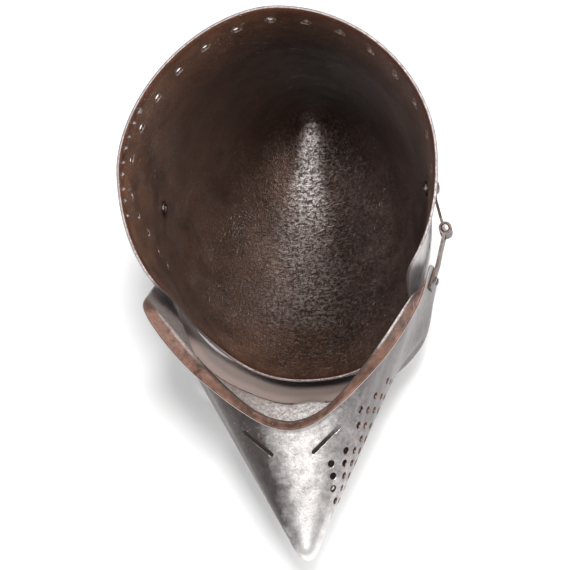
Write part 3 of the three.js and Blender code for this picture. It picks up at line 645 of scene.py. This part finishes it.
def skull_look():
    """Patina inside, rustier toward the rim and the wearer's left, with painted shade on the nape wall and a
    painted highlight streaked down the bowl's front; grey worn steel outside; a pale edge.
    """
    material, tree, shader, place = new_material("skull_steel")
    inside, rim = value_of(tree, "inside"), value_of(tree, "rim")
    outer, _, pits = steel(tree, place, STEELS["skull"], 0.5)
    shell = pebbles(tree, place)
    lines = scratches(tree, place)
    across, ahead, height_up = node(tree, "SeparateXYZ", {0: place}).outputs
    # Worn grains and brown mottles, both stronger low in the bowl; fewer grains up the nape wall also keep it
    # dark, as painted shade.
    low = rising(tree, height_up, 0.085, 0.035)
    worn = times(tree, ramp(tree, shell, [(0.60, 0), (0.82, 1)]), plus(tree, times(tree, low, 0.85), 0.15))
    patina = blend(tree, worn, PATINA, WORN)
    mottle = ramp(tree, grain(tree, place, 55, 7, 0.7), [(0.36, 0), (0.64, 1)])
    patina = blend(tree, times(tree, mottle, plus(tree, times(tree, low, 0.5), 0.2)), patina, BROWNED)
    # Paler side walls, dark clouds, and painted shade that makes the nape wall nearly black.
    off_centre = rising(tree, maths(tree, "ABSOLUTE", across), 0.015, 0.085)
    pale = times(tree, off_centre, plus(tree, times(tree, mottle, 0.35), 0.5))
    patina = blend(tree, pale, patina, SIDE_PATINA)
    clouds = ramp(tree, grain(tree, place, 24, 9, 0.78, 0.8), [(0.40, 1), (0.60, 0)])
    patina = blend(tree, times(tree, clouds, 0.55), patina, CLOUD)
    nape = times(tree, minus(tree, 1.0, off_centre), rising(tree, height_up, 0.03, 0.08))
    patina = blend(tree, times(tree, nape, 0.97), patina, NAPE_SHADE)
    # The painted highlight streak, rust, the red-brown band by the rim, and scratches.
    highlight_streak = painted_highlight_streak(tree, across, ahead, height_up)
    streak_glints = ramp(tree, shell, [(0.59, 0), (0.73, 1)])
    patina = blend(tree, times(tree, highlight_streak, plus(tree, 0.10, times(tree, streak_glints, 0.9))), patina, STREAK_HIGHLIGHT)
    rusty = plus(tree, times(tree, rising(tree, across, 0.02, -0.10), 0.6),
                 times(tree, rising(tree, rim, 70.0, 4.0), 0.55))
    rusty = times(tree, rusty, ramp(tree, grain(tree, place, 38, 8, 0.75, 0.6), [(0.36, 0.35), (0.70, 1)]))
    patina = blend(tree, maths(tree, "MINIMUM", rusty, 1.0), patina, RUST)
    patina = blend(tree, times(tree, rising(tree, rim, 9.0, 3.0), 0.75), patina, RIM_RUST)
    patina = blend(tree, times(tree, lines, 0.8), patina, SKULL_SCRATCH)
    tone = blend(tree, ramp(tree, inside, [(0.55, 0), (0.75, 1)]), outer, patina)
    lip = times(tree, ramp(tree, inside, [(0.15, 0), (0.35, 1), (0.75, 1), (0.85, 0)]),
                rising(tree, rim, 1.2, 0.6))
    tone = blend(tree, times(tree, lip, 0.85), tone, SKULL_LIP)
    dull = times(tree, rusty, minus(tree, 1.0, highlight_streak))
    rough = plus(tree, plus(tree, times(tree, dull, 0.22), 0.36), times(tree, mottle, 0.08))
    height = minus(tree, shell, times(tree, plus(tree, pits, lines), 0.4))
    shader.inputs["Specular IOR Level"].default_value = 0.15
    finish_metal(tree, shader, tone, rough, height, 0.75, 0.9)
    return material


def snout_painted_light(tree, place, outer, x, y):
    """Painted light on the snout: painted shade darkens its two flanks beyond a wandering line, and a painted
    highlight brightens its middle toward the tip.
    """
    half = plus(tree, 0.008, times(tree, plus(tree, y, -SNOUT_END_Y), 0.22))
    wander = times(tree, minus(tree, grain(tree, place, 110, 6, 0.7), 0.5), 0.022)
    across = plus(tree, minus(tree, x, TIP_LEAN), wander)
    left = minus(tree, times(tree, across, -1.0), minus(tree, half, 0.007))
    right = minus(tree, across, plus(tree, half, 0.005))
    left, right = rising(tree, left, -0.003, 0.009), rising(tree, right, -0.003, 0.012)
    outer = blend(tree, times(tree, left, 0.9), outer, LEFT_FLANK_SHADE)
    outer = blend(tree, times(tree, right, 0.8), outer, RIGHT_FLANK_SHADE)
    flank_shade = times(tree, plus(tree, left, right), 0.6)
    tip = times(tree, rising(tree, y, -0.180, -0.225), minus(tree, 0.6, flank_shade))
    return blend(tree, maths(tree, "MAXIMUM", 0.0, tip), outer, TIP_HIGHLIGHT)


def visor_look():
    """Grey steel with painted shade on the snout's flanks and a painted highlight at its tip, a rusted lower
    border with a bright edge, and grainy silver steel inside with painted shade where it is deepest.
    """
    material, tree, shader, place = new_material("visor_steel")
    inside, rim = value_of(tree, "inside"), value_of(tree, "rim")
    border, brow = value_of(tree, "border"), value_of(tree, "brow")
    outer, stain, pits = steel(tree, place, STEELS["visor"], 0.3)
    shell = pebbles(tree, place)
    lines = scratches(tree, place)
    x, y, z = node(tree, "SeparateXYZ", {0: place}).outputs
    # Painted shade on the snout's flanks and a painted highlight toward its tip.
    outer = snout_painted_light(tree, place, outer, x, y)
    # Inside: silver grains with brown speckles, a smooth brow band, and painted shade where it is deepest.
    silver = blend(tree, ramp(tree, shell, [(0.50, 0), (0.78, 1)]), SILVER_DARK, SILVER)
    speckle = ramp(tree, grain(tree, place, 300, 3, 0.7), [(0.58, 0), (0.68, 1)])
    silver = blend(tree, times(tree, speckle, 0.6), silver, SPECKLE)
    silver = blend(tree, times(tree, rising(tree, x, -0.004, -0.045), 0.62), silver, SILVER_BROWN)
    silver = blend(tree, brow, silver, BROW)
    deep_shade = maths(tree, "MAXIMUM", rising(tree, z, 0.024, 0.013), rising(tree, y, -0.100, -0.113))
    silver = blend(tree, times(tree, deep_shade, 0.92), silver, DEEP_SHADE)
    within = ramp(tree, inside, [(0.55, 0), (0.75, 1)])
    tone = blend(tree, within, outer, silver)
    # The rusted border, its bright edge, and scratches.
    redness = ramp(tree, grain(tree, place, 90, 6, 0.7), [(0.38, 0), (0.64, 1)])
    tone = blend(tree, times(tree, border, 0.92), tone, blend(tree, redness, BORDER_DARK, BORDER))
    lip = times(tree, ramp(tree, inside, [(0.12, 0), (0.22, 1), (0.42, 1), (0.5, 0)]),
                rising(tree, rim, 1.2, 0.6))
    tone = blend(tree, times(tree, lip, 0.8), tone, VISOR_LIP)
    tone = blend(tree, times(tree, lines, 0.35), tone, VISOR_SCRATCH)
    rough = plus(tree, plus(tree, times(tree, stain, 0.12), 0.42), times(tree, border, 0.2))
    height = minus(tree, shell, times(tree, plus(tree, pits, lines), 0.5))
    metallic = minus(tree, 1.0, times(tree, within, 0.65))
    finish_metal(tree, shader, tone, rough, height, 0.14, metallic)
    return material


def plain_look(name, tones, roughness):
    """Stained and pitted steel of one kind all over."""
    material, tree, shader, place = new_material(name)
    tone, stain, pits = steel(tree, place, tones, 0.6)
    rough = plus(tree, times(tree, stain, 0.2), roughness)
    height = minus(tree, pebbles(tree, place), times(tree, pits, 0.5))
    finish_metal(tree, shader, tone, rough, height, 0.12)
    return material


skull_steel, visor_steel = skull_look(), visor_look()
fitting_steel = plain_look("fitting_steel", STEELS["fitting"], 0.42)
rivet_steel = plain_look("rivet_steel", STEELS["rivet"], 0.30)
hole_wall = plain_look("hole_wall", STEELS["hole"], 0.45)

# Pieces
skull_grid = skull_surface(**SKULL_GRID)
skull_normals = surface_normals(skull_grid)
hammered = sum(depth * (lumps(skull_grid, size, seed) - 1) for depth, size, seed in HAMMER_MARKS)
fade = smoothstep(edge_distance(skull_grid), 0, HAMMER_FADE)
skull_grid = skull_grid + skull_normals * (hammered * fade)[..., None]
skull = plate_shell("skull_bowl", skull_grid, PLATE, {"rim": edge_distance(skull_grid)}, skull_steel)
cut(skull, lacing_rods(grid_tree(skull_grid)))

visor_grid, border, brow = visor_surface(**VISOR_GRID)
visor_values = {"rim": edge_distance(visor_grid), "border": border, "brow": brow}
visor = plate_shell("snouted_visor", visor_grid, PLATE, visor_values, visor_steel)
cut(visor, visor_slots() + breath_rods(grid_tree(visor_grid)))

for piece, body in ((skull, "skull"), (visor, "visor")):
    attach(piece, body)
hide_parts("skull")
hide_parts("visor")

for name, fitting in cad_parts.items():
    material = rivet_steel if "rivet" in name or "pin" in name else fitting_steel
    for slot in fitting.material_slots:
        slot.material = material

# Floor, lights and camera
FLOOR_HALF = 6
LIGHTS = [
    ("key", (0.9, -0.2, 1.9), (0, 0, 0.12), 1.0, 22),
    ("top", (0.26, -0.70, 2.0), (0, 0.12, 0.05), 0.3, 32),
    ("front", (0.0, -1.35, 1.40), (0, 0, 0.10), 0.6, 4),
    ("fill", (-1.4, -0.6, 1.4), (0, 0, 0.12), 1.4, 8),
]
SKY_STRENGTH = 0.55
CAMERA = dict(lens=106.94, sensor=36, place=(0.13912, -0.73287, 1.05587), turn=(37.08, 8.126, 1.117))

floor_mesh = bpy.data.meshes.new("floor")
corners = [(x * FLOOR_HALF, y * FLOOR_HALF, 0) for x, y in ((-1, -1), (1, -1), (1, 1), (-1, 1))]
floor_mesh.from_pydata(corners, [], [(0, 1, 2, 3)])
floor = bpy.data.objects.new("floor", floor_mesh)
bpy.context.scene.collection.objects.link(floor)
pale = bpy.data.materials.new("pale_floor")
pale.use_nodes = True
pale.node_tree.nodes["Principled BSDF"].inputs["Base Color"].default_value = (0.86, 0.86, 0.86, 1)
pale.node_tree.nodes["Principled BSDF"].inputs["Roughness"].default_value = 0.9
floor_mesh.materials.append(pale)

world = bpy.data.worlds.new("studio")
world.use_nodes = True
world.node_tree.nodes["Background"].inputs[0].default_value = (1, 1, 1, 1)
world.node_tree.nodes["Background"].inputs[1].default_value = SKY_STRENGTH
bpy.context.scene.world = world

for name, place, target, size, power in LIGHTS:
    data = bpy.data.lights.new(name, "AREA")
    data.shape, data.size, data.size_y, data.energy = "RECTANGLE", size, size, power
    lamp = bpy.data.objects.new(name, data)
    lamp.location = place
    lamp.rotation_euler = (Vector(target) - Vector(place)).to_track_quat("-Z", "Y").to_euler()
    bpy.context.scene.collection.objects.link(lamp)

camera_data = bpy.data.cameras.new("camera")
camera_data.lens, camera_data.sensor_width = CAMERA["lens"], CAMERA["sensor"]
camera = bpy.data.objects.new("camera", camera_data)
camera.location = CAMERA["place"]
camera.rotation_euler = [math.radians(degrees) for degrees in CAMERA["turn"]]
bpy.context.scene.collection.objects.link(camera)
bpy.context.scene.camera = camera
bpy.context.scene.view_settings.view_transform = "Standard"
